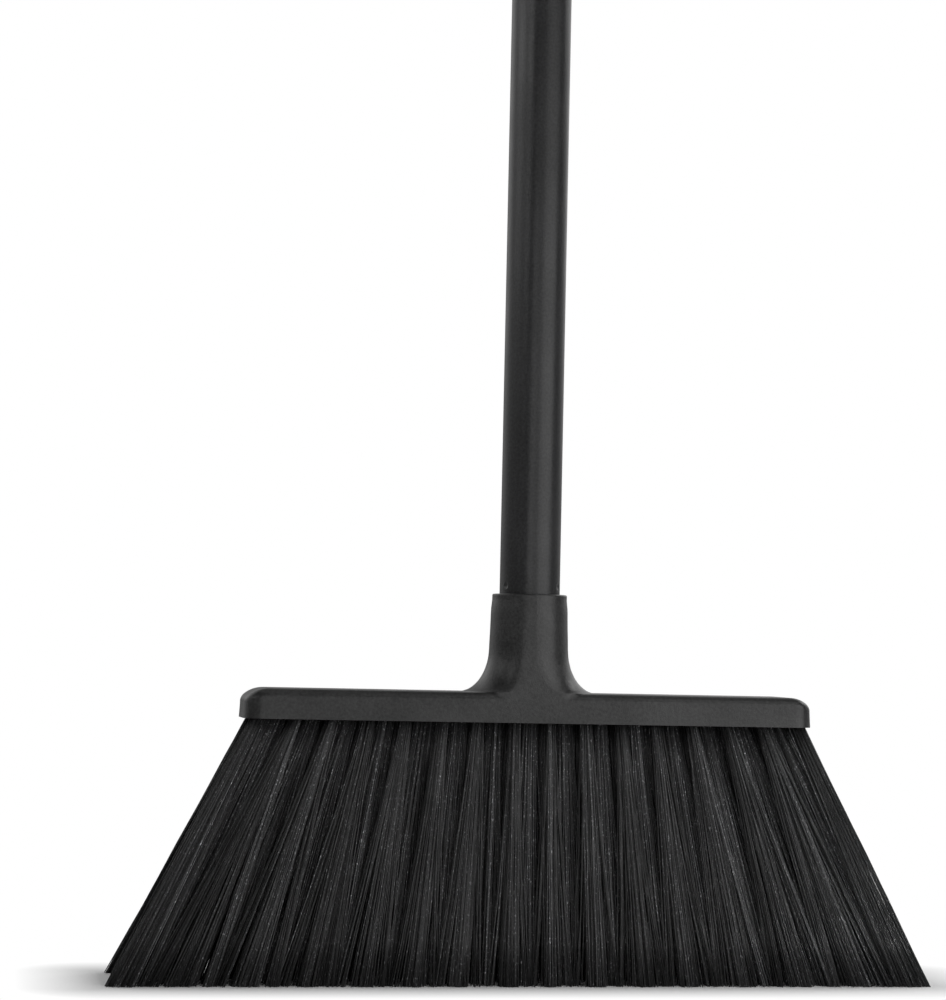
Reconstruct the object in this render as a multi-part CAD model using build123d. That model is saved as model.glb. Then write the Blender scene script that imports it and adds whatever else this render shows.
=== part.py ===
from build123d import *
import math
import os

# An upright broom for heavy sweeping: a moulded head with a flared bristle skirt and a
# handle of five tube sections that screw together. Millimetres, +Z up, bristle tips at Z = 0,
# handle axis on Z, the head's length along X and its depth along Y.

# Handle tube
TUBE_OD = 22.0
TUBE_WALL = 0.4
LOWER_TUBE_LENGTH = 267.0
MIDDLE_TUBE_LENGTH = 240.0
TOP_TUBE_LENGTH = 231.5
SECTIONS = 5

# Swaged lower end of each section that screws into the one below
NECK_LENGTH = 30.0
SHOULDER_LENGTH = 2.5
NECK_CLEARANCE = 0.45
RIM_CLEARANCE = 0.2

# Crimps that hold the plugs in the tube ends
CRIMP_DEPTH = 0.3
CRIMP_RADIUS = 3.4
CRIMP_COLUMNS = 3
CRIMP_FIRST_ANGLE = -33.0
CRIMP_HEIGHT = 10.0
LOWER_CRIMP_HEIGHT = 3.8
NECK_CRIMP_HEIGHT = 6.0

# Screw between two sections
THREAD_OD = 14.0
THREAD_DEPTH = 1.2
THREAD_PITCH = 3.0
THREAD_LENGTH = 21.0
THREAD_CREST = 0.6
THREAD_BASE = 1.5
THREAD_CLEARANCE = 0.3
THREAD_ROOT_SINK = 0.2
THREAD_CHAMFER = 1.0
PLUG_BODY_LENGTH = 24.0
NUT_LENGTH = 24.0
COLLAR_THICKNESS = 2.4
COLLAR_CLEARANCE = 0.2
COLLAR_CHAMFER = 0.4
FIT_GAP = 0.1

# Plain taper plug at the foot of the handle
TAPER_TOP_OD = 19.6
TAPER_TIP_OD = 17.7
TAPER_LENGTH = 23.0
TAPER_TIP_FILLET = 2.0
TAPER_BODY_LENGTH = 22.0

# Rubber hand grip
GRIP_LENGTH = 104.0
GRIP_OD = 26.5
GRIP_TOP_OD = 23.8
GRIP_BODY_LENGTH = 79.0
GRIP_WAIST_LENGTH = 3.0
GRIP_END_CHAMFER = 1.2
GROOVE_COUNT = 6
GROOVE_PITCH = 4.2
GROOVE_START = 18.5
GROOVE_WIDTH = 1.6
GROOVE_DEPTH = 0.7

# End cap
CAP_OD = 26.1
CAP_HEIGHT = 18.5
CAP_DOME_HEIGHT = 5.2
CAP_STEM_LENGTH = 12.0
CAP_WALL = 1.6
CAP_TOP_WALL = 3.0

# Head block
BLOCK_LENGTH = 208.4
BLOCK_DEPTH = 30.0
BLOCK_HEIGHT = 10.8
BLOCK_DRAFT = 3.0
BLOCK_CORNER_RADIUS = 7.0
BLOCK_SHOULDER_RADIUS = 12.0
BLOCK_SHOULDER_WIDTH = 9.0
BLOCK_EDGE_RADIUS = 3.0
LIP_WALL = 2.0
LIP_DROP = 0.4

# Socket and its flare
SOCKET_HEIGHT = 35.6
SOCKET_RIM_OD = 27.3
SOCKET_BASE_OD = 28.6
SOCKET_MOUTH_DEPTH = 7.0
SOCKET_CLEARANCE = 0.3
SOCKET_END_GAP = 0.6
SOCKET_RIM_FILLET = 0.6
FLARE_WIDTH = 11.0
FLARE_HEIGHT = 16.0
FLARE_END_ANGLE = 85.0
FLARE_INSET = 0.05
FLARE_BLEND = 4.0
FLARE_STEPS = 8
SLEEVE_STEPS = 4
SLOT_FLAT = 0.1

# Bristles
BRISTLE_LENGTH = 93.0
FAN_WIDTH = 302.0
FAN_DEPTH = 46.0
MIDDLE_SPLAY = 1.24
ROWS = 4
TUFTS_IN_ROW = 16
TUFT_END_MARGIN = 4.2
TUFT_SPREAD = 2.2
STRAND_WIDTH = 1.1
STRAND_SPACING = 1.5
STRIP_THICKNESS = 2.4
STRIP_CLEARANCE = 0.1
STRAND_SINK = 0.6
TIP_TRIM = 0.5

# Tuft anchors
ANCHOR_LENGTH = 4.4
ANCHOR_HEIGHT = 1.8
ANCHOR_THICKNESS = 0.5
ANCHOR_CLEARANCE = 0.05

# Levels of the head
block_bottom = BRISTLE_LENGTH
block_top = block_bottom + BLOCK_HEIGHT
socket_rim = block_top + SOCKET_HEIGHT
tube_foot = socket_rim - SOCKET_MOUTH_DEPTH
strip_bottom = block_bottom + LIP_DROP
strip_top = strip_bottom + STRIP_THICKNESS

# Diameters that follow the tube
tube_bore = TUBE_OD - 2 * TUBE_WALL
neck_od = tube_bore - 2 * NECK_CLEARANCE
neck_bore = neck_od - 2 * TUBE_WALL
collar_od = tube_bore - 2 * COLLAR_CLEARANCE
thread_root_od = THREAD_OD - 2 * THREAD_DEPTH

# The shoulder stops where its cone just clears the rim of the tube below
rim_cone_od = tube_bore - 2 * RIM_CLEARANCE
seam_gap = SHOULDER_LENGTH * (TUBE_OD - rim_cone_od) / (TUBE_OD - neck_od)

# Bristle layout
recess_length = BLOCK_LENGTH - 2 * LIP_WALL
recess_depth = BLOCK_DEPTH - 2 * LIP_WALL
recess_radius = BLOCK_CORNER_RADIUS - LIP_WALL
row_pitch = recess_depth / ROWS
tuft_pitch = (recess_length - 2 * TUFT_END_MARGIN) / (TUFTS_IN_ROW - 1)


def section_levels():
    """Foot and rim of the full-width part of each tube, from the lowest section up."""
    lengths = [LOWER_TUBE_LENGTH]
    lengths += [MIDDLE_TUBE_LENGTH] * (SECTIONS - 2)
    lengths += [TOP_TUBE_LENGTH]
    levels = []
    foot = tube_foot
    for length in lengths:
        levels.append((foot, foot + length))
        foot += length + seam_gap
    return levels


def ring(inner_radius, outer_radius, bottom, height):
    """A plain ring about Z."""
    return Pos(0, 0, bottom) * extrude(Circle(outer_radius) - Circle(inner_radius), height)


def turned(points):
    """A solid of revolution about Z from a closed outline of (radius, level) points."""
    outline = make_face(Polyline(*points, close=True))
    return revolve(Plane.XZ * outline, Axis.Z)


def crimped(tube, radius, levels):
    """The tube with a ring of shallow dents at each level."""
    dents = []
    for level in levels:
        for column in range(CRIMP_COLUMNS):
            angle = math.radians(CRIMP_FIRST_ANGLE + 360 * column / CRIMP_COLUMNS)
            reach = radius - CRIMP_DEPTH + CRIMP_RADIUS
            place = Pos(reach * math.cos(angle), reach * math.sin(angle), level)
            dents.append(place * Sphere(CRIMP_RADIUS))
    return tube - dents


def lower_tube(foot, rim):
    """Straight tube whose foot is crimped on the taper plug."""
    tube = ring(tube_bore / 2, TUBE_OD / 2, foot, rim - foot)
    return crimped(tube, TUBE_OD / 2, [foot + LOWER_CRIMP_HEIGHT, foot + CRIMP_HEIGHT])


def upper_tube(foot, rim):
    """Tube with a shoulder and a swaged neck that enters the tube below."""
    shoulder = foot - SHOULDER_LENGTH
    end = shoulder - NECK_LENGTH
    tube = turned([
        (tube_bore / 2, rim),
        (TUBE_OD / 2, rim),
        (TUBE_OD / 2, foot),
        (neck_od / 2, shoulder),
        (neck_od / 2, end),
        (neck_bore / 2, end),
        (neck_bore / 2, shoulder),
        (tube_bore / 2, foot),
    ])
    return crimped(tube, neck_od / 2, [end + NECK_CRIMP_HEIGHT])


def helical_ridge(base_radius, crest_radius, base_width, crest_width, bottom, height):
    """A trapezoid ridge wound up a right-hand helix that starts on the X axis at bottom."""
    path = Helix(pitch=THREAD_PITCH, height=height, radius=base_radius)
    start = Plane(origin=path @ 0, x_dir=(1, 0, 0), z_dir=path % 0)
    depth = crest_radius - base_radius
    section = make_face(Polyline(
        (0, -base_width / 2),
        (depth, -crest_width / 2),
        (depth, crest_width / 2),
        (0, base_width / 2),
        close=True,
    ))
    return Pos(0, 0, bottom) * sweep(start * section, path=path, is_frenet=True)


def thread_plug(neck_end):
    """Moulded plug: a body in the neck, a stem through the collar and a screw below it."""
    collar_bottom = neck_end - COLLAR_THICKNESS
    tip = collar_bottom - THREAD_LENGTH
    root = thread_root_od / 2
    body = turned([
        (0, tip),
        (root - THREAD_CHAMFER, tip),
        (root, tip + THREAD_CHAMFER),
        (root, neck_end),
        (neck_bore / 2 - FIT_GAP, neck_end),
        (neck_bore / 2 - FIT_GAP, neck_end + PLUG_BODY_LENGTH),
        (0, neck_end + PLUG_BODY_LENGTH),
    ])
    ridge = helical_ridge(
        root - THREAD_ROOT_SINK,
        THREAD_OD / 2,
        THREAD_BASE,
        THREAD_CREST,
        tip + THREAD_BASE,
        THREAD_LENGTH - 2 * THREAD_BASE,
    )
    return body + ridge


def thread_nut(neck_end):
    """Moulded insert fixed in a tube, with the female thread that takes the plug."""
    top = neck_end - COLLAR_THICKNESS
    tip = top - THREAD_LENGTH
    bottom = top - NUT_LENGTH
    bore = thread_root_od / 2 + THREAD_CLEARANCE
    turns_below = math.ceil((tip - bottom) / THREAD_PITCH) + 1
    turns = math.ceil(NUT_LENGTH / THREAD_PITCH) + 3
    groove_bottom = tip + THREAD_BASE - turns_below * THREAD_PITCH
    groove = helical_ridge(
        bore - THREAD_ROOT_SINK,
        THREAD_OD / 2 + THREAD_CLEARANCE,
        THREAD_BASE + 2 * THREAD_CLEARANCE,
        THREAD_CREST + 2 * THREAD_CLEARANCE,
        groove_bottom,
        turns * THREAD_PITCH,
    )
    tap = groove + Pos(0, 0, groove_bottom) * extrude(Circle(bore), turns * THREAD_PITCH)
    body = Pos(0, 0, bottom) * extrude(Circle(tube_bore / 2 - FIT_GAP), NUT_LENGTH)
    return body - tap


def stop_collar(neck_end):
    """Loose ring on the plug's stem that seats on the nut below."""
    bottom = neck_end - COLLAR_THICKNESS
    bore = thread_root_od / 2 + THREAD_CLEARANCE
    outer = collar_od / 2
    return turned([
        (bore, bottom),
        (outer - COLLAR_CHAMFER, bottom),
        (outer, bottom + COLLAR_CHAMFER),
        (outer, neck_end - COLLAR_CHAMFER),
        (outer - COLLAR_CHAMFER, neck_end),
        (bore, neck_end),
    ])


def taper_plug(foot):
    """Plain plug in the foot of the lowest tube, with a taper that wedges in the socket."""
    body = Pos(0, 0, foot) * extrude(Circle(tube_bore / 2 - FIT_GAP), TAPER_BODY_LENGTH)
    taper = turned([
        (0, foot - TAPER_LENGTH),
        (TAPER_TIP_OD / 2, foot - TAPER_LENGTH),
        (TAPER_TOP_OD / 2, foot),
        (0, foot),
    ])
    tip_edge = taper.edges().sort_by(Axis.Z)[0]
    return body + fillet(tip_edge, TAPER_TIP_FILLET)


def hand_grip(top):
    """Rubber sleeve: a ribbed body that narrows to a waist under the cap."""
    bottom = top - GRIP_LENGTH
    bore = TUBE_OD / 2 + FIT_GAP
    outer = GRIP_OD / 2
    waist = GRIP_TOP_OD / 2
    body_top = bottom + GRIP_BODY_LENGTH
    waist_bottom = top - GRIP_WAIST_LENGTH
    side = Polyline(
        (waist, waist_bottom),
        (waist, top),
        (bore, top),
        (bore, bottom),
        (outer - GRIP_END_CHAMFER, bottom),
        (outer, bottom + GRIP_END_CHAMFER),
        (outer, body_top),
    )
    swell = Spline((outer, body_top), (waist, waist_bottom), tangents=((0, 1), (0, 1)))
    sleeve = revolve(Plane.XZ * make_face(side + swell), Axis.Z)
    groove_radius = (GROOVE_WIDTH ** 2 / 4 + GROOVE_DEPTH ** 2) / (2 * GROOVE_DEPTH)
    groove_centre = outer - GROOVE_DEPTH + groove_radius
    grooves = []
    for index in range(GROOVE_COUNT):
        level = bottom + GROOVE_START + index * GROOVE_PITCH
        grooves.append(Pos(0, 0, level) * Torus(groove_centre, groove_radius))
    return sleeve - grooves


def end_cap(base):
    """Domed cap whose hollow stem plugs the top of the handle."""
    stem = tube_bore / 2 - FIT_GAP
    hollow = stem - CAP_WALL
    top = base + CAP_HEIGHT
    shoulder = top - CAP_DOME_HEIGHT
    side = Polyline(
        (0, top),
        (0, top - CAP_TOP_WALL),
        (hollow, top - CAP_TOP_WALL),
        (hollow, base - CAP_STEM_LENGTH),
        (stem, base - CAP_STEM_LENGTH),
        (stem, base),
        (GRIP_TOP_OD / 2, base),
        (CAP_OD / 2, shoulder),
    )
    dome = Spline((CAP_OD / 2, shoulder), (0, top), tangents=((0, 1), (-1, 0)))
    return revolve(Plane.XZ * make_face(side + dome), Axis.Z)


def block_half_depth(level):
    """Half the block's depth at a level: its sides lean in by the draft."""
    return BLOCK_DEPTH / 2 - (level - block_bottom) * math.tan(math.radians(BLOCK_DRAFT))


def slot_section(level, half_width, half_depth):
    """A slot-shaped section of the socket, square to the handle."""
    return Pos(0, 0, level) * SlotOverall(2 * half_width, 2 * half_depth)


def flared_socket():
    """Outside of the socket: a drafted sleeve that flares sideways into the block."""
    rim = SOCKET_RIM_OD / 2
    base = SOCKET_BASE_OD / 2
    flare_top = block_top + FLARE_HEIGHT
    spread = block_half_depth(block_top) - base
    sections = []
    for step in range(SLEEVE_STEPS):
        share = step / SLEEVE_STEPS
        radius = rim + share * (base - rim)
        level = socket_rim + share * (flare_top - socket_rim)
        sections.append(slot_section(level, radius + SLOT_FLAT, radius))
    for step in range(FLARE_STEPS + 1):
        angle = math.radians(FLARE_END_ANGLE * step / FLARE_STEPS)
        out = 1 - math.cos(angle)
        level = flare_top - FLARE_HEIGHT * math.sin(angle)
        sections.append(slot_section(level, base + FLARE_WIDTH * out + SLOT_FLAT, base + spread * out))
    root_level = block_top - BLOCK_EDGE_RADIUS
    root = slot_section(root_level, base + FLARE_WIDTH, block_half_depth(root_level) - FLARE_INSET)
    return loft(sections) + loft([sections[-1], root], ruled=True)


def row_level(row):
    """Place of a bristle row along Y, front row first."""
    return (row - (ROWS - 1) / 2) * row_pitch


def tuft_places(row):
    """Places of a row's tufts along X: the rows take turns at the quarters of a pitch."""
    stagger = (row % 2 / 2 + row // 2 % 2 * 3 / 4) % 1
    first = TUFT_END_MARGIN - recess_length / 2 + stagger * tuft_pitch
    count = TUFTS_IN_ROW - math.ceil(stagger)
    return [first + column * tuft_pitch for column in range(count)]


def splayed(place, end, reach):
    """Where a tuft's tips land: steady near the middle and wider towards the ends."""
    return MIDDLE_SPLAY * place + (reach - MIDDLE_SPLAY * end) * (place / end) ** 3


def recess_outline():
    """The pocket in the underside of the block that holds the bristle rows."""
    return RectangleRounded(recess_length, recess_depth, recess_radius)


def anchor_boxes(clearance):
    """A flat staple over every tuft, grown by a clearance."""
    length = ANCHOR_LENGTH + 2 * clearance
    thickness = ANCHOR_THICKNESS + 2 * clearance
    height = ANCHOR_HEIGHT + clearance
    staple = Box(length, thickness, height, align=(Align.CENTER, Align.CENTER, Align.MIN))
    places = [(x, row_level(row)) for row in range(ROWS) for x in tuft_places(row)]
    return [Pos(x, y, strip_top) * staple for x, y in places]


def block_profile():
    """The block seen from the front, with a round shoulder at each end of its top."""
    half = BLOCK_LENGTH / 2
    flat = half - BLOCK_SHOULDER_WIDTH
    shoulder = BLOCK_HEIGHT - BLOCK_SHOULDER_RADIUS
    shoulder += math.sqrt(BLOCK_SHOULDER_RADIUS ** 2 - BLOCK_SHOULDER_WIDTH ** 2)
    top = Line((-flat, BLOCK_HEIGHT), (flat, BLOCK_HEIGHT))
    right = RadiusArc((flat, BLOCK_HEIGHT), (half, shoulder), BLOCK_SHOULDER_RADIUS)
    sides = Polyline((half, shoulder), (half, 0), (-half, 0), (-half, shoulder))
    left = RadiusArc((-half, shoulder), (-flat, BLOCK_HEIGHT), BLOCK_SHOULDER_RADIUS)
    return make_face(top + right + sides + left)


def block_bar():
    """Drafted bar with round corners, round shoulders at its ends and a soft edge round its top."""
    plan = RectangleRounded(BLOCK_LENGTH, BLOCK_DEPTH, BLOCK_CORNER_RADIUS)
    bar = extrude(plan, BLOCK_HEIGHT, taper=BLOCK_DRAFT)
    bar = bar & extrude(Plane.XZ * block_profile(), BLOCK_DEPTH, both=True)
    crown = ShapeList(face for face in bar.faces() if face.normal_at().Z > 0.5)
    seams = crown.edges().filter_by(Axis.Y).group_by(Axis.Z)[-1]
    return Pos(0, 0, block_bottom) * fillet(crown.edges() - seams, BLOCK_EDGE_RADIUS)


def head_block():
    """Moulded block: rounded bar, flared socket with its stepped bore, and the bristle pocket."""
    bar = block_bar()
    socket = flared_socket()
    body = bar + socket
    body = fillet(new_edges(bar, socket, combined=body), FLARE_BLEND)
    rim_edges = body.faces().sort_by(Axis.Z)[-1].edges()
    body = fillet(rim_edges, SOCKET_RIM_FILLET)
    mouth = Pos(0, 0, tube_foot) * extrude(Circle(TUBE_OD / 2 + SOCKET_CLEARANCE), SOCKET_HEIGHT)
    floor = tube_foot - TAPER_LENGTH - SOCKET_END_GAP
    taper = turned([
        (0, floor),
        (TAPER_TIP_OD / 2 + SOCKET_CLEARANCE, floor),
        (TAPER_TOP_OD / 2 + SOCKET_CLEARANCE, tube_foot),
        (0, tube_foot),
    ])
    pocket = Pos(0, 0, block_bottom) * extrude(recess_outline(), strip_top - block_bottom)
    return body - [mouth, taper, pocket] - anchor_boxes(ANCHOR_CLEARANCE)


def strand(root, tip):
    """A straight square strand from its root in the strip to just past the trimmed tips."""
    slope_x = (root[0] - tip[0]) / strip_bottom
    slope_y = (root[1] - tip[1]) / strip_bottom
    along = Vector(slope_x, slope_y, 1)
    foot = Pos(tip[0] - slope_x * TIP_TRIM, tip[1] - slope_y * TIP_TRIM, -TIP_TRIM)
    height = TIP_TRIM + strip_bottom + STRAND_SINK
    return extrude(foot * Rectangle(STRAND_WIDTH, STRAND_WIDTH), height * along.length, dir=along)


def bristle_row(row):
    """A slice of the block's underside with a row of splayed tufts, trimmed level at the tips."""
    y_top = row_level(row)
    slice_depth = row_pitch - STRIP_CLEARANCE
    band = Pos(0, y_top, 0) * Rectangle(recess_length, slice_depth)
    slice_outline = offset(recess_outline(), -STRIP_CLEARANCE) & band
    strip = Pos(0, 0, strip_bottom) * extrude(slice_outline, STRIP_THICKNESS)
    tip_spacing = STRAND_SPACING * TUFT_SPREAD
    tuft_reach = tip_spacing + STRAND_WIDTH / 2
    tip_y = y_top * (FAN_DEPTH / 2 - tuft_reach) / row_level(ROWS - 1)
    grid = [(x, y) for x in (-1, 0, 1) for y in (-1, 0, 1) if x or y]
    strands = []
    for x_top in tuft_places(row):
        tip_x = splayed(x_top, tuft_places(0)[-1], FAN_WIDTH / 2 - tuft_reach)
        for x_side, y_side in grid:
            root = (x_top + x_side * STRAND_SPACING, y_top + y_side * STRAND_SPACING)
            strands.append(strand(root, (tip_x + x_side * tip_spacing, tip_y + y_side * tip_spacing)))
    trimming = extrude(Rectangle(2 * FAN_WIDTH, 2 * FAN_DEPTH), -2 * TIP_TRIM)
    return strip + strands - trimming


def build():
    """Every piece of the broom by name."""
    levels = section_levels()
    top = levels[-1][1]
    pieces = {"head_block": head_block()}
    pieces["tuft_anchors"] = Compound(children=anchor_boxes(0))
    for row in range(ROWS):
        pieces[f"bristle_row_{row + 1}"] = bristle_row(row)
    pieces["handle_tube_1"] = lower_tube(*levels[0])
    pieces["taper_plug"] = taper_plug(levels[0][0])
    for number, (foot, rim) in enumerate(levels[1:], start=2):
        neck_end = foot - SHOULDER_LENGTH - NECK_LENGTH
        pieces[f"handle_tube_{number}"] = upper_tube(foot, rim)
        pieces[f"thread_plug_{number}"] = thread_plug(neck_end)
        pieces[f"stop_collar_{number}"] = stop_collar(neck_end)
        pieces[f"thread_nut_{number - 1}"] = thread_nut(neck_end)
    pieces["hand_grip"] = hand_grip(top)
    pieces["end_cap"] = end_cap(top)
    return pieces


os.makedirs("parts", exist_ok=True)
for name, piece in build().items():
    export_step(piece, f"parts/{name}.step")
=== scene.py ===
import math
import random

import bpy
from mathutils import Matrix, Vector


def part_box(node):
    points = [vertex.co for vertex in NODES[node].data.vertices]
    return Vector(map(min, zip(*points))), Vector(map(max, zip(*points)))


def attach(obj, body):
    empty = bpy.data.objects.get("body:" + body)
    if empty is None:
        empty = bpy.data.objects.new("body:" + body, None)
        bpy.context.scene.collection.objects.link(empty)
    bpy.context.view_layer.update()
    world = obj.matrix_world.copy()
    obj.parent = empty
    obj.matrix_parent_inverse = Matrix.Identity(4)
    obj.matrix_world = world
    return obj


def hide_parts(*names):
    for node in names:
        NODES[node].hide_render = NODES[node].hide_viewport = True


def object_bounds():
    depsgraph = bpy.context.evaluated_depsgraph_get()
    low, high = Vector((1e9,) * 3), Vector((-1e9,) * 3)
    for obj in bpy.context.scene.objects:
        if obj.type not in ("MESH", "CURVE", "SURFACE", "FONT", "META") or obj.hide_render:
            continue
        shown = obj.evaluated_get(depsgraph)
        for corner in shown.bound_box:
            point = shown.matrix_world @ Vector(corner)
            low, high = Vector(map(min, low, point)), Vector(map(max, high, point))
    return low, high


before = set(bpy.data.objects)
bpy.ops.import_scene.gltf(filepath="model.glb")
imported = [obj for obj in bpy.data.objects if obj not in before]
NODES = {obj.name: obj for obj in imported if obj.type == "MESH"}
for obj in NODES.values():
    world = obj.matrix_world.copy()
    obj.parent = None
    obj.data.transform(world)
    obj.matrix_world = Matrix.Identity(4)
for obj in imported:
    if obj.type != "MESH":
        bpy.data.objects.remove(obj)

CAD_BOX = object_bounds()
SECTIONS = (2, 3, 4, 5)
MM = 0.001


# Materials

NOISE_LOW = 0.3
NOISE_HIGH = 0.7
TINT_LOW = 0.35
TINT_HIGH = 0.65
DRIFT_DETAIL = 5.0
SPECKLE_DETAIL = 2.0
GRAIN_DETAIL = 2.0
GLOSS_DETAIL = 4.0
GLOSS_SCALE = 2.3
# Painted glints in the filaments' colour
GLINT_SCALE = 1900.0
GLINT_GAIN = 6.5
GLINT_START = 0.63
GLINT_END = 0.7
FILAMENT_NOISE_DETAIL = 1.0
FILAMENT_NOISE_STRETCH = (1, 1, 0.6)
FILAMENT_ROUGHNESS = (0.36, 0.55)
FILAMENT_GLOSS_SCALE = 160.0
FILAMENT_GRAIN_SCALE = 1500.0
FILAMENT_GRAIN_HEIGHT = 0.06 * MM


def new_material(name):
    """An empty node material with its tree and principled shader."""
    material = bpy.data.materials.new(name)
    material.use_nodes = True
    tree = material.node_tree
    return material, tree, tree.nodes["Principled BSDF"]


def add_node(tree, kind, **inputs):
    """A node with its input sockets set by name, spaces written as underscores."""
    node = tree.nodes.new(kind)
    for name, value in inputs.items():
        node.inputs[name.replace("_", " ")].default_value = value
    return node


def math_node(tree, operation, first, second):
    """A math node on two values, each a socket or a number; some operations ignore the second."""
    node = tree.nodes.new("ShaderNodeMath")
    node.operation = operation
    for socket, value in zip(node.inputs, (first, second)):
        if isinstance(value, (int, float)):
            socket.default_value = value
        else:
            tree.links.new(value, socket)
    return node.outputs["Value"]


def noise_field(tree, scale, detail=3.0, stretch=(1, 1, 1)):
    """Noise over the object's own coordinates, in cycles per metre, stretched per axis."""
    place = tree.nodes.new("ShaderNodeTexCoord")
    mapping = add_node(tree, "ShaderNodeMapping", Scale=stretch)
    noise = add_node(tree, "ShaderNodeTexNoise", Scale=scale, Detail=detail)
    tree.links.new(place.outputs["Object"], mapping.inputs["Vector"])
    tree.links.new(mapping.outputs["Vector"], noise.inputs["Vector"])
    return noise.outputs["Fac"]


def ramp(tree, source, low, high, start=NOISE_LOW, end=NOISE_HIGH):
    """A colour ramp between two colours over part of a field."""
    node = tree.nodes.new("ShaderNodeValToRGB")
    for element, position, colour in zip(node.color_ramp.elements, (start, end), (low, high)):
        element.position = position
        element.color = (*colour, 1)
    tree.links.new(source, node.inputs["Fac"])
    return node.outputs["Color"]


def value_range(tree, source, low, high, start=NOISE_LOW, end=NOISE_HIGH):
    """A field mapped from part of its own range to a range of values."""
    node = add_node(tree, "ShaderNodeMapRange", From_Min=start, From_Max=end, To_Min=low, To_Max=high)
    tree.links.new(source, node.inputs["Value"])
    return node.outputs["Result"]


def add_relief(tree, shader, layers):
    """Surface relief from (field, height in metres) layers, laid one on the other."""
    last = None
    for field, height in layers:
        node = add_node(tree, "ShaderNodeBump", Strength=1.0, Distance=height)
        tree.links.new(field, node.inputs["Height"])
        if last:
            tree.links.new(last, node.inputs["Normal"])
        last = node.outputs["Normal"]
    tree.links.new(last, shader.inputs["Normal"])


def finish_material(name, tones, rough, drift, speckle, grain, metallic=0.0, specular=0.5):
    """A colour with a slow drift and a fine speckle, drifting gloss, and layers of (scale, height) grain."""
    material, tree, shader = new_material(name)
    slow = noise_field(tree, drift, DRIFT_DETAIL)
    fine = noise_field(tree, speckle, SPECKLE_DETAIL)
    average = math_node(tree, "MULTIPLY", math_node(tree, "ADD", slow, fine), 0.5)
    tree.links.new(ramp(tree, average, *tones, start=TINT_LOW, end=TINT_HIGH), shader.inputs["Base Color"])
    gloss = noise_field(tree, drift * GLOSS_SCALE, GLOSS_DETAIL)
    tree.links.new(value_range(tree, gloss, *rough), shader.inputs["Roughness"])
    shader.inputs["Metallic"].default_value = metallic
    shader.inputs["Specular IOR Level"].default_value = specular
    add_relief(tree, shader, [(noise_field(tree, scale, GRAIN_DETAIL), height) for scale, height in grain])
    return material


def grey(level, blue=1.0):
    """A neutral colour with a touch more or less blue."""
    return (level, level, level * blue)


def bristle_material():
    """Polymer filament: each has its own shade, kept on the mesh, with small painted glints along it in its
    colour.
    """
    material, tree, shader = new_material("bristle_filament")
    shade = tree.nodes.new("ShaderNodeAttribute")
    shade.attribute_name = "shade"
    # Painted glints: where the noise peaks, the filament's colour is brightened up to GLINT_GAIN times,
    # standing in for highlights
    glint_noise = noise_field(tree, GLINT_SCALE, FILAMENT_NOISE_DETAIL, FILAMENT_NOISE_STRETCH)
    glint = ramp(tree, glint_noise, grey(1.0), grey(GLINT_GAIN), GLINT_START, GLINT_END)
    mix = tree.nodes.new("ShaderNodeMix")
    mix.data_type = "RGBA"
    mix.blend_type = "MULTIPLY"
    mix.inputs["Factor"].default_value = 1.0
    tree.links.new(shade.outputs["Color"], mix.inputs["A"])
    tree.links.new(glint, mix.inputs["B"])
    tree.links.new(mix.outputs["Result"], shader.inputs["Base Color"])
    gloss = noise_field(tree, FILAMENT_GLOSS_SCALE)
    tree.links.new(value_range(tree, gloss, *FILAMENT_ROUGHNESS), shader.inputs["Roughness"])
    grain = noise_field(tree, FILAMENT_GRAIN_SCALE, FILAMENT_NOISE_DETAIL, FILAMENT_NOISE_STRETCH)
    add_relief(tree, shader, [(grain, FILAMENT_GRAIN_HEIGHT)])
    return material


def dress(node, material):
    """Puts one material in every slot of a CAD node."""
    obj = NODES[node]
    if not obj.material_slots:
        obj.data.materials.append(material)
    for slot in obj.material_slots:
        slot.material = material


def head_material():
    """Moulded polypropylene: satin, with a fine eroded grain and faint flow mottling."""
    return finish_material("moulded_head", tones=(grey(0.004), grey(0.025)), rough=(0.29, 0.38),
                           drift=45.0, speckle=1000.0, specular=0.37,
                           grain=[(2100.0, 0.07 * MM), (420.0, 0.05 * MM)])


def dress_cad(head):
    """Finishes for every CAD node that stays in view."""
    coat = finish_material("tube_coating", tones=(grey(0.003, 1.06), grey(0.02, 1.06)),
                           rough=(0.3, 0.38), drift=22.0, speckle=1100.0, specular=0.34,
                           grain=[(1500.0, 0.04 * MM), (150.0, 0.03 * MM)])
    screw = finish_material("screw_moulding", tones=(grey(0.016, 1.05), grey(0.024, 1.05)),
                            rough=(0.42, 0.56), drift=60.0, speckle=1200.0, grain=[(1700.0, 0.05 * MM)])
    rubber = finish_material("grip_rubber", tones=(grey(0.007, 1.15), grey(0.014, 1.15)),
                             rough=(0.58, 0.74), drift=45.0, speckle=1300.0,
                             grain=[(2400.0, 0.08 * MM), (320.0, 0.06 * MM)])
    cap = finish_material("cap_moulding", tones=((0.7, 0.108, 0.044), (0.79, 0.13, 0.056)),
                          rough=(0.38, 0.5), drift=60.0, speckle=900.0, grain=[(1800.0, 0.05 * MM)])
    taper = finish_material("taper_moulding", tones=((0.62, 0.64, 0.67), (0.7, 0.72, 0.75)),
                            rough=(0.42, 0.54), drift=50.0, speckle=900.0, grain=[(1400.0, 0.04 * MM)])
    staple = finish_material("staple_steel", tones=(grey(0.42), grey(0.55)), rough=(0.3, 0.45),
                             drift=300.0, speckle=2000.0, metallic=1.0, grain=[(3000.0, 0.02 * MM)])
    dress("head_block", head)
    dress("tuft_anchors", staple)
    dress("taper_plug", taper)
    dress("hand_grip", rubber)
    dress("end_cap", cap)
    dress("handle_tube_1", coat)
    for number in SECTIONS:
        dress(f"handle_tube_{number}", coat)
        dress(f"thread_plug_{number}", screw)
        dress(f"thread_nut_{number - 1}", screw)
        dress(f"stop_collar_{number}", screw)


# Bristle layout, in metres

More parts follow.
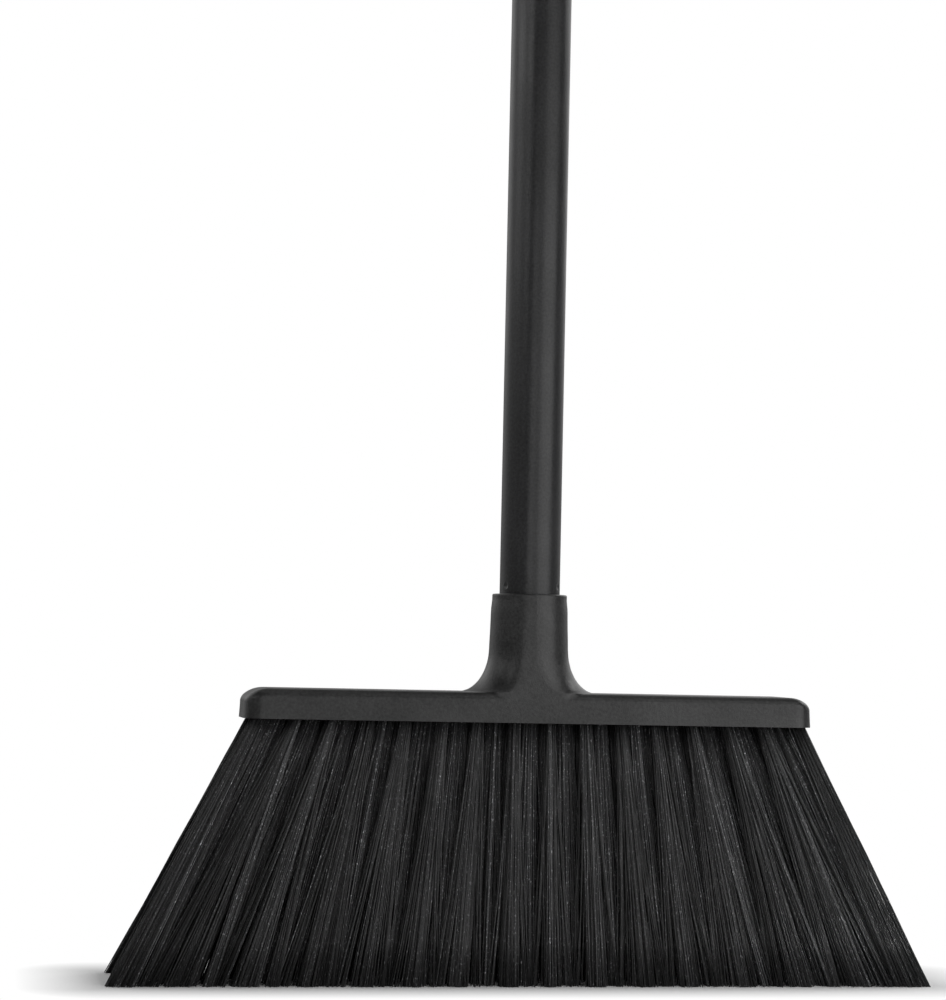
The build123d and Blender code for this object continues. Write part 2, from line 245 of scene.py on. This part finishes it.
ROWS = 4
TUFTS_IN_ROW = 16
ROW_STAGGERS = (0.0, 0.5, 0.75, 0.25)
TUFT_END_MARGIN = 4.2 * MM
LIP_WALL = 2.0 * MM
LIP_DROP = 0.4 * MM
STRIP_THICKNESS = 2.4 * MM
STRIP_CLEARANCE = 0.1 * MM
RECESS_RADIUS = 5.0 * MM
MIDDLE_SPLAY = 1.24
TUFT_HALVES = ((2.1 * MM, 2.1 * MM), (2.9 * MM, 2.7 * MM), (5.0 * MM, 2.7 * MM), (5.0 * MM, 2.7 * MM))
TUFT_FILAMENTS = (160, 195, 200, 200)
END_REACH = 0.6
END_GROWTH = 0.9 * MM
TIP_HALVES = (3.4 * MM, 4.0 * MM, 6.1 * MM, 6.1 * MM)
LOCKS = 4
LOCK_PULL = 0.3
TUFT_HOLD = 0.4
FAN_SHARE = 0.25
FAN_REACH = 0.55
REAR_MARGIN = 1.2 * MM
TIP_DEPTHS = ((-19.8 * MM, 2.4 * MM), (-9.6 * MM, 9.4 * MM), (9.6 * MM, 9.4 * MM), (19.8 * MM, 2.4 * MM))
TIP_MARGIN = 2.0 * MM
TIP_LEAN = -1.6 * MM
LEAN_SPREAD = 0.5 * MM
TIP_X_SPREAD = 0.4 * MM
TIP_Y_SPREAD = 0.3 * MM
TIP_RISE = 0.3 * MM
BOW_SPREAD = 0.35 * MM
KINK_SPREAD = 0.12 * MM
FILAMENT_RADIUS = 0.2 * MM
FILAMENT_SIDES = 5
FILAMENT_STEPS = 6
SEED = 11

# Shades of the filaments, with painted light and shade by row and within each tuft

FILAMENT_TONE = 0.0225
FILAMENT_BLUE = 1.03
DARKEST_SHARE = 0.45
PALE_GAIN = 2.0
PALE_POWER = 2.2
STRAY_SHARE = 0.012
STRAY_TONES = (0.07, 0.16)
# Painted light and shade by row: the second row lighter and the rear rows darker than the front row, though
# all rows are the same filament
ROW_PAINTED_LIGHT_AND_SHADE = (1.0, 1.9, 0.7, 0.75)
# Random tone ranges for a tuft's held core and its fanned locks; the core is painted lighter and the locks
# darker, as painted shade between tufts
CORE_TONES_PAINTED_LIT = (0.9, 1.35)
LOCK_TONES_PAINTED_SHADED = (0.45, 1.2)

# Places that follow from the block's size

BLOCK_LOW, BLOCK_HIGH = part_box("head_block")
ROW_PITCH = (BLOCK_HIGH[1] - BLOCK_LOW[1] - 2 * LIP_WALL) / ROWS
ROW_END = (BLOCK_HIGH[0] - BLOCK_LOW[0]) / 2 - LIP_WALL - TUFT_END_MARGIN
TUFT_PITCH = 2 * ROW_END / (TUFTS_IN_ROW - 1)
STRIP_BOTTOM = BLOCK_LOW[2] + LIP_DROP


def row_place(row):
    """Place of a bristle row along Y, front row first."""
    return (row - (ROWS - 1) / 2) * ROW_PITCH


def tuft_places(row):
    """Places of a row's tufts along X: the rows take turns at the quarters of a pitch."""
    stagger = ROW_STAGGERS[row]
    first = -ROW_END + stagger * TUFT_PITCH
    count = TUFTS_IN_ROW - math.ceil(stagger)
    return [first + column * TUFT_PITCH for column in range(count)]


def splayed(place):
    """Where a tuft's middle lands at the tips: steady near the middle, wider towards the ends."""
    reach = CAD_BOX[1][0] - TIP_MARGIN
    return MIDDLE_SPLAY * place + (reach - MIDDLE_SPLAY * ROW_END) * (place / ROW_END) ** 3


def tuft_halves(row, x_top):
    """Half-widths of a tuft along X and Y; those at the ends of the block are set fuller."""
    half_x, half_y = TUFT_HALVES[row]
    if abs(x_top) > ROW_END - END_REACH * TUFT_PITCH:
        half_x += END_GROWTH
    return half_x, half_y


def evened(u):
    """A sideways place in the unit disc, spread so that the disc's points lie evenly."""
    return (u * math.sqrt(1 - u * u) + math.asin(u)) * 2 / math.pi


def disc_point(rng):
    """An even random point of the unit disc."""
    radius = math.sqrt(rng.random())
    angle = rng.uniform(0, 2 * math.pi)
    return radius * math.cos(angle), radius * math.sin(angle)


def within(value, limit):
    """A value held between a limit and its negative."""
    return max(-limit, min(limit, value))


def fan_place(row, x_top, u):
    """The lock that a fanned filament belongs to, and the place whose splay it follows to its tip."""
    limit = ROW_END if row == 0 else ROW_END - REAR_MARGIN
    low = max(x_top - FAN_REACH * TUFT_PITCH, -limit)
    high = min(x_top + FAN_REACH * TUFT_PITCH, limit)
    share = (evened(u) + 1) / 2
    lock = min(LOCKS - 1, int(share * LOCKS))
    middle = (lock + 0.5) / LOCKS
    return lock, low + (high - low) * (share + LOCK_PULL * (middle - share))


def filament_line(rng, row, x_top, u, v, tip_mid, tip_x):
    """Points of one filament from root to tip, held in its tuft first and spread lower down."""
    half_x, half_y = tuft_halves(row, x_top)
    middle_depth, half_depth = TIP_DEPTHS[row]
    root = Vector((x_top + half_x * u, row_place(row) + half_y * v, STRIP_BOTTOM + STRIP_THICKNESS / 2))
    tip_y = middle_depth + half_depth * evened(v) + rng.gauss(0, TIP_Y_SPREAD)
    tip = Vector((tip_x + rng.gauss(0, TIP_X_SPREAD), tip_y, TIP_RISE * rng.random() ** 2))
    bow = Vector((rng.gauss(0, BOW_SPREAD), rng.gauss(0, BOW_SPREAD), 0))
    held_tip = root + Vector((tip_mid - x_top, middle_depth - row_place(row), tip.z - root.z))
    hold = TUFT_HOLD * (1 - (x_top / ROW_END) ** 2)
    points = []
    for step in range(FILAMENT_STEPS + 1):
        share = step / FILAMENT_STEPS
        end = held_tip.lerp(tip, share ** hold)
        point = root.lerp(end, share) + bow * math.sin(math.pi * share)
        kink = KINK_SPREAD * math.sin(math.pi * share)
        x = within(point.x + rng.gauss(0, kink), CAD_BOX[1][0] - FILAMENT_RADIUS)
        y = within(point.y + rng.gauss(0, kink), CAD_BOX[1][1] - FILAMENT_RADIUS)
        points.append((x, y, point.z))
    return points


def add_filament(verts, faces, line):
    """A thin closed tube along a line of points."""
    first = len(verts)
    sides = FILAMENT_SIDES
    for x, y, z in line:
        for side in range(sides):
            angle = 2 * math.pi * side / sides
            verts.append((x + FILAMENT_RADIUS * math.cos(angle), y + FILAMENT_RADIUS * math.sin(angle), z))
    for step in range(len(line) - 1):
        low = first + step * sides
        for side in range(sides):
            after = (side + 1) % sides
            faces.append((low + side, low + sides + side, low + sides + after, low + after))
    last = first + (len(line) - 1) * sides
    faces.append(tuple(first + side for side in range(sides)))
    faces.append(tuple(last + side for side in reversed(range(sides))))


def new_piece(name, verts, faces, material):
    """A smooth mesh object with one material."""
    mesh = bpy.data.meshes.new(name)
    mesh.from_pydata(verts, [], faces)
    mesh.materials.append(material)
    mesh.shade_smooth()
    piece = bpy.data.objects.new(name, mesh)
    bpy.context.scene.collection.objects.link(piece)
    return piece


def filament_shade(rng, tone):
    """Shade of one filament: dark with a few paler strays; its tone carries the painted light and shade of
    its row and tuft part.
    """
    level = FILAMENT_TONE * tone * (DARKEST_SHARE + PALE_GAIN * rng.random() ** PALE_POWER)
    if rng.random() < STRAY_SHARE:
        level = rng.uniform(*STRAY_TONES)
    return grey(level, FILAMENT_BLUE)


def build_bristles(material):
    """Every row as a piece of fine filaments in splayed tufts, in place of its CAD strands."""
    rng = random.Random(SEED)
    for row in range(ROWS):
        verts, faces, shades = [], [], []
        for x_top in tuft_places(row):
            # Painted light and shade: the row's factor, with the core set lighter and each fanned lock
            # darker, over a random tone
            core_tone_painted_lit = ROW_PAINTED_LIGHT_AND_SHADE[row] * rng.uniform(*CORE_TONES_PAINTED_LIT)
            lock_tones_painted_shaded = [ROW_PAINTED_LIGHT_AND_SHADE[row] * rng.uniform(*LOCK_TONES_PAINTED_SHADED) for _ in range(LOCKS)]
            lean = rng.gauss(TIP_LEAN, LEAN_SPREAD)
            fan_share = FAN_SHARE + (1 - FAN_SHARE) * (x_top / ROW_END) ** 2
            for _ in range(TUFT_FILAMENTS[row]):
                u, v = disc_point(rng)
                tone = core_tone_painted_lit
                tip_x = splayed(x_top) + TIP_HALVES[row] * u
                if rng.random() < fan_share:
                    lock, place = fan_place(row, x_top, u)
                    tone = lock_tones_painted_shaded[lock]
                    tip_x = splayed(place)
                line = filament_line(rng, row, x_top, u, v, splayed(x_top) + lean, tip_x + lean)
                add_filament(verts, faces, line)
                shades.append(filament_shade(rng, tone))
        piece = new_piece(f"bristles_{row + 1}", verts, faces, material)
        attribute = piece.data.color_attributes.new("shade", "FLOAT_COLOR", "POINT")
        corners = FILAMENT_SIDES * (FILAMENT_STEPS + 1)
        colours = [value for shade in shades for _ in range(corners) for value in (*shade, 1.0)]
        attribute.data.foreach_set("color", colours)
        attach(piece, "head")
        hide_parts(f"bristle_row_{row + 1}")


# Underside of the block, with a rimmed hole for every tuft

HOLE_POINTS = 24
HOLE_MARGIN = 0.1 * MM
RIM_WIDTH = 0.35 * MM
RIM_HEIGHT = 0.3 * MM
RIM_PROFILE = ((1.0, 0.0), (0.7, 0.8), (0.3, 1.0), (0.0, 0.0))
SHARP_ANGLE = math.radians(40)
TINY = 1e-9


def cell_edge(x_low, x_high, y_low, y_high, x_mid, y_mid, angle):
    """Where a ray from a tuft's middle leaves its rectangle."""
    dx, dy = math.cos(angle), math.sin(angle)
    reach_x = ((x_high if dx > 0 else x_low) - x_mid) / dx if abs(dx) > TINY else math.inf
    reach_y = ((y_high if dy > 0 else y_low) - y_mid) / dy if abs(dy) > TINY else math.inf
    reach = min(reach_x, reach_y)
    return x_mid + reach * dx, y_mid + reach * dy


def rounded_corner(x, y, half_x, half_y):
    """A point pulled in to the pocket's rounded corners."""
    inner_x, inner_y = half_x - RECESS_RADIUS, half_y - RECESS_RADIUS
    over_x, over_y = abs(x) - inner_x, abs(y) - inner_y
    if over_x <= 0 or over_y <= 0 or math.hypot(over_x, over_y) <= RECESS_RADIUS:
        return x, y
    shrink = RECESS_RADIUS / math.hypot(over_x, over_y)
    return math.copysign(inner_x + over_x * shrink, x), math.copysign(inner_y + over_y * shrink, y)


def corner_angles(x_low, x_high, y_low, y_high, x_mid, y_mid):
    """Even directions round a tuft, with the four nearest ones turned to its cell's corners."""
    angles = [2 * math.pi * index / HOLE_POINTS for index in range(HOLE_POINTS)]
    for x in (x_low, x_high):
        for y in (y_low, y_high):
            target = math.atan2(y - y_mid, x - x_mid) % (2 * math.pi)
            nearest = min(range(HOLE_POINTS), key=lambda index: abs(angles[index] - target))
            angles[nearest] = target
    return sorted(angles)


def add_cell(verts, faces, cell, x_mid, y_mid, hole, half_x, half_y):
    """One tuft's patch of the underside: flat out to the cell's edge, a raised rim and a hole."""
    angles = corner_angles(*cell, x_mid, y_mid)
    first = len(verts)
    count = len(angles)
    top = STRIP_BOTTOM + STRIP_THICKNESS
    edge = [rounded_corner(*cell_edge(*cell, x_mid, y_mid, angle), half_x, half_y) for angle in angles]
    for level in (top, STRIP_BOTTOM):
        verts.extend((x, y, level) for x, y in edge)
    rings = [(width * RIM_WIDTH, STRIP_BOTTOM - height * RIM_HEIGHT) for width, height in RIM_PROFILE]
    rings.append((0.0, top))
    for rim, level in rings:
        for angle in angles:
            x = x_mid + (hole[0] + rim) * math.cos(angle)
            y = y_mid + (hole[1] + rim) * math.sin(angle)
            verts.append((x, y, level))
    loops = len(rings) + 2
    for loop in range(loops):
        here = first + loop * count
        there = first + (loop + 1) % loops * count
        for index in range(count):
            after = (index + 1) % count
            faces.append((here + index, here + after, there + after, there + index))


def build_underside(material):
    """The plate between the block's lips that the tufts stand in."""
    half_x = (BLOCK_HIGH[0] - BLOCK_LOW[0]) / 2 - LIP_WALL - STRIP_CLEARANCE
    half_y = (BLOCK_HIGH[1] - BLOCK_LOW[1]) / 2 - LIP_WALL - STRIP_CLEARANCE
    verts, faces = [], []
    for row in range(ROWS):
        y_mid = row_place(row)
        places = tuft_places(row)
        y_low = max(-half_y, y_mid - ROW_PITCH / 2)
        y_high = min(half_y, y_mid + ROW_PITCH / 2)
        for index, x_mid in enumerate(places):
            x_low = -half_x if index == 0 else x_mid - TUFT_PITCH / 2
            x_high = half_x if index == len(places) - 1 else x_mid + TUFT_PITCH / 2
            hole = [half + HOLE_MARGIN for half in tuft_halves(row, x_mid)]
            add_cell(verts, faces, (x_low, x_high, y_low, y_high), x_mid, y_mid, hole, half_x, half_y)
    piece = new_piece("tuft_plate", verts, faces, material)
    piece.data.set_sharp_from_angle(angle=SHARP_ANGLE)
    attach(piece, "head")


# Stage, light and camera

IMAGE_HEIGHT = 1000
SENSOR = 36.0
CAMERA_DISTANCE = 1.0
CAMERA_ASIDE = -0.0214
CAMERA_HEIGHT = 0.12
CAMERA_AZIMUTH = -10.0
CAMERA_PITCH = -3.06
CAMERA_ROLL = 1.25
FOCAL_PIXELS = 2741
LOW_BACK_LIGHT = 0.25
HIGH_BACK_LIGHT = 1.35
MIDDLE_BACK_SHARE = 0.3
LEFT_LIGHT = 0.01
RIGHT_LIGHT = 0.16
BACK_RISE = 0.18
BACK_REACH = 0.7
FLANK_RANGE = (0.1, 0.5)
SIDE_RANGE = (-0.4, 0.6)
FLOOR_TONE = 0.9
FLOOR_ROUGHNESS = 0.9
FLOOR_SPECULAR = 0.1
FLOOR_HALF = 6.0
SHADOW_REACH = 0.03


def floor_material():
    """Pale floor that keeps the shadow near the bristles and fades to white away from them."""
    material, tree, shader = new_material("studio_floor")
    shader.inputs["Base Color"].default_value = (*grey(FLOOR_TONE), 1)
    shader.inputs["Roughness"].default_value = FLOOR_ROUGHNESS
    shader.inputs["Specular IOR Level"].default_value = FLOOR_SPECULAR
    place = tree.nodes.new("ShaderNodeTexCoord")
    parts = tree.nodes.new("ShaderNodeSeparateXYZ")
    path = tree.nodes.new("ShaderNodeLightPath")
    tree.links.new(place.outputs["Object"], parts.inputs["Vector"])
    beyond = []
    for axis, half in zip("XY", CAD_BOX[1]):
        side = math_node(tree, "ABSOLUTE", parts.outputs[axis], 0.0)
        outside = math_node(tree, "MAXIMUM", math_node(tree, "SUBTRACT", side, half), 0.0)
        beyond.append(math_node(tree, "POWER", outside, 2.0))
    away = math_node(tree, "SQRT", math_node(tree, "ADD", *beyond), 0.0)
    fade = value_range(tree, away, 0.0, 1.0, 0.0, SHADOW_REACH)
    white = add_node(tree, "ShaderNodeEmission", Color=(1, 1, 1, 1), Strength=1.0)
    mix = tree.nodes.new("ShaderNodeMixShader")
    tree.links.new(math_node(tree, "MULTIPLY", fade, path.outputs["Is Camera Ray"]), mix.inputs["Fac"])
    tree.links.new(shader.outputs["BSDF"], mix.inputs[1])
    tree.links.new(white.outputs["Emission"], mix.inputs[2])
    tree.links.new(mix.outputs["Shader"], tree.nodes["Material Output"].inputs["Surface"])
    return material


def add_floor():
    """A plain pale floor under the bristle tips."""
    half = FLOOR_HALF
    corners = [(-half, -half, 0), (half, -half, 0), (half, half, 0), (-half, half, 0)]
    new_piece("floor", corners, [(0, 1, 2, 3)], floor_material())


def add_world():
    """White to the camera; for the light a backdrop brighter upwards and aside, and a front dim at left."""
    world = bpy.data.worlds.new("studio")
    bpy.context.scene.world = world
    world.use_nodes = True
    tree = world.node_tree
    light = tree.nodes["Background"]
    light.inputs["Color"].default_value = (1, 1, 1, 1)
    white = add_node(tree, "ShaderNodeBackground", Color=(1, 1, 1, 1), Strength=1.0)
    place = tree.nodes.new("ShaderNodeTexCoord")
    parts = tree.nodes.new("ShaderNodeSeparateXYZ")
    path = tree.nodes.new("ShaderNodeLightPath")
    mix = tree.nodes.new("ShaderNodeMixShader")
    tree.links.new(place.outputs["Generated"], parts.inputs["Vector"])
    rise = value_range(tree, parts.outputs["Z"], LOW_BACK_LIGHT, HIGH_BACK_LIGHT, 0.0, BACK_RISE)
    aside = math_node(tree, "ABSOLUTE", parts.outputs["X"], 0.0)
    flank = value_range(tree, aside, MIDDLE_BACK_SHARE, 1.0, *FLANK_RANGE)
    reach = value_range(tree, parts.outputs["Y"], 0.0, 1.0, 0.0, BACK_REACH)
    back = math_node(tree, "MULTIPLY", reach, math_node(tree, "MULTIPLY", rise, flank))
    side = value_range(tree, parts.outputs["X"], LEFT_LIGHT, RIGHT_LIGHT, *SIDE_RANGE)
    tree.links.new(math_node(tree, "MAXIMUM", back, side), light.inputs["Strength"])
    tree.links.new(path.outputs["Is Camera Ray"], mix.inputs["Fac"])
    tree.links.new(light.outputs["Background"], mix.inputs[1])
    tree.links.new(white.outputs["Background"], mix.inputs[2])
    tree.links.new(mix.outputs["Shader"], tree.nodes["World Output"].inputs["Surface"])


def add_softbox(name, azimuth, distance, height, aim, width, tall, power, spread=180):
    """A soft area light at an azimuth seen from the broom, 0 being straight in front, aimed at a point."""
    light = bpy.data.lights.new(name, "AREA")
    light.shape = "RECTANGLE"
    light.size = width
    light.size_y = tall
    light.energy = power
    light.spread = math.radians(spread)
    lamp = bpy.data.objects.new(name, light)
    angle = math.radians(azimuth)
    place = Vector((distance * math.sin(angle), -distance * math.cos(angle), height))
    turn = (Vector(aim) - place).to_track_quat("-Z", "Y").to_matrix().to_4x4()
    lamp.matrix_world = Matrix.Translation(place) @ turn
    bpy.context.scene.collection.objects.link(lamp)


def add_lights():
    """Keys at the right and front, high lights at the left, two fills, a rim light and an overhead."""
    add_softbox("key_right", azimuth=41, distance=0.9, height=0.27, aim=(0, 0, 0.13),
                width=0.9, tall=0.5, power=3.4)
    add_softbox("key_front", azimuth=-4, distance=1.2, height=0.26, aim=(0.35, 0, 0.15),
                width=0.73, tall=0.42, power=0.44, spread=80)
    add_softbox("high_left", azimuth=-86, distance=1.6, height=1.0, aim=(0, 0, 0.9),
                width=1.4, tall=0.9, power=2.0, spread=60)
    add_softbox("high_front_left", azimuth=-50, distance=1.6, height=1.0, aim=(0, 0, 0.9),
                width=0.6, tall=0.9, power=0.9, spread=60)
    add_softbox("low_right", azimuth=22, distance=0.8, height=0.05, aim=(0.16, 0, -0.03),
                width=0.1, tall=0.06, power=0.03, spread=18)
    add_softbox("grip_fill", azimuth=30, distance=1.3, height=1.4, aim=(0, 0, 1.25),
                width=0.9, tall=0.9, power=4.5)
    add_softbox("rim_right", azimuth=112, distance=1.5, height=1.1, aim=(0, 0, 0.1),
                width=0.6, tall=0.6, power=4.0)
    add_softbox("overhead", azimuth=20, distance=0.5, height=2.2, aim=(0, 0, 0),
                width=1.6, tall=1.6, power=4.0)


def add_camera():
    """The photograph's view: nearly level, from the left of the front, with a slight roll."""
    data = bpy.data.cameras.new("camera")
    data.sensor_width = SENSOR
    data.lens = SENSOR * FOCAL_PIXELS / IMAGE_HEIGHT
    camera = bpy.data.objects.new("camera", data)
    angle = math.radians(CAMERA_AZIMUTH)
    right = Vector((math.cos(angle), math.sin(angle), 0))
    back = Vector((math.sin(angle), -math.cos(angle), 0))
    place = right * CAMERA_ASIDE + back * CAMERA_DISTANCE + Vector((0, 0, CAMERA_HEIGHT))
    turn = Matrix((right, Vector((0, 0, 1)), back)).transposed().to_4x4()
    tilt = Matrix.Rotation(math.radians(-CAMERA_PITCH), 4, "X")
    roll = Matrix.Rotation(math.radians(CAMERA_ROLL), 4, "Z")
    camera.matrix_world = Matrix.Translation(place) @ turn @ tilt @ roll
    bpy.context.scene.collection.objects.link(camera)
    bpy.context.scene.camera = camera


head_plastic = head_material()
dress_cad(head_plastic)
build_bristles(bristle_material())
build_underside(head_plastic)
add_floor()
add_world()
add_lights()
add_camera()
bpy.context.scene.view_settings.view_transform = "Standard"
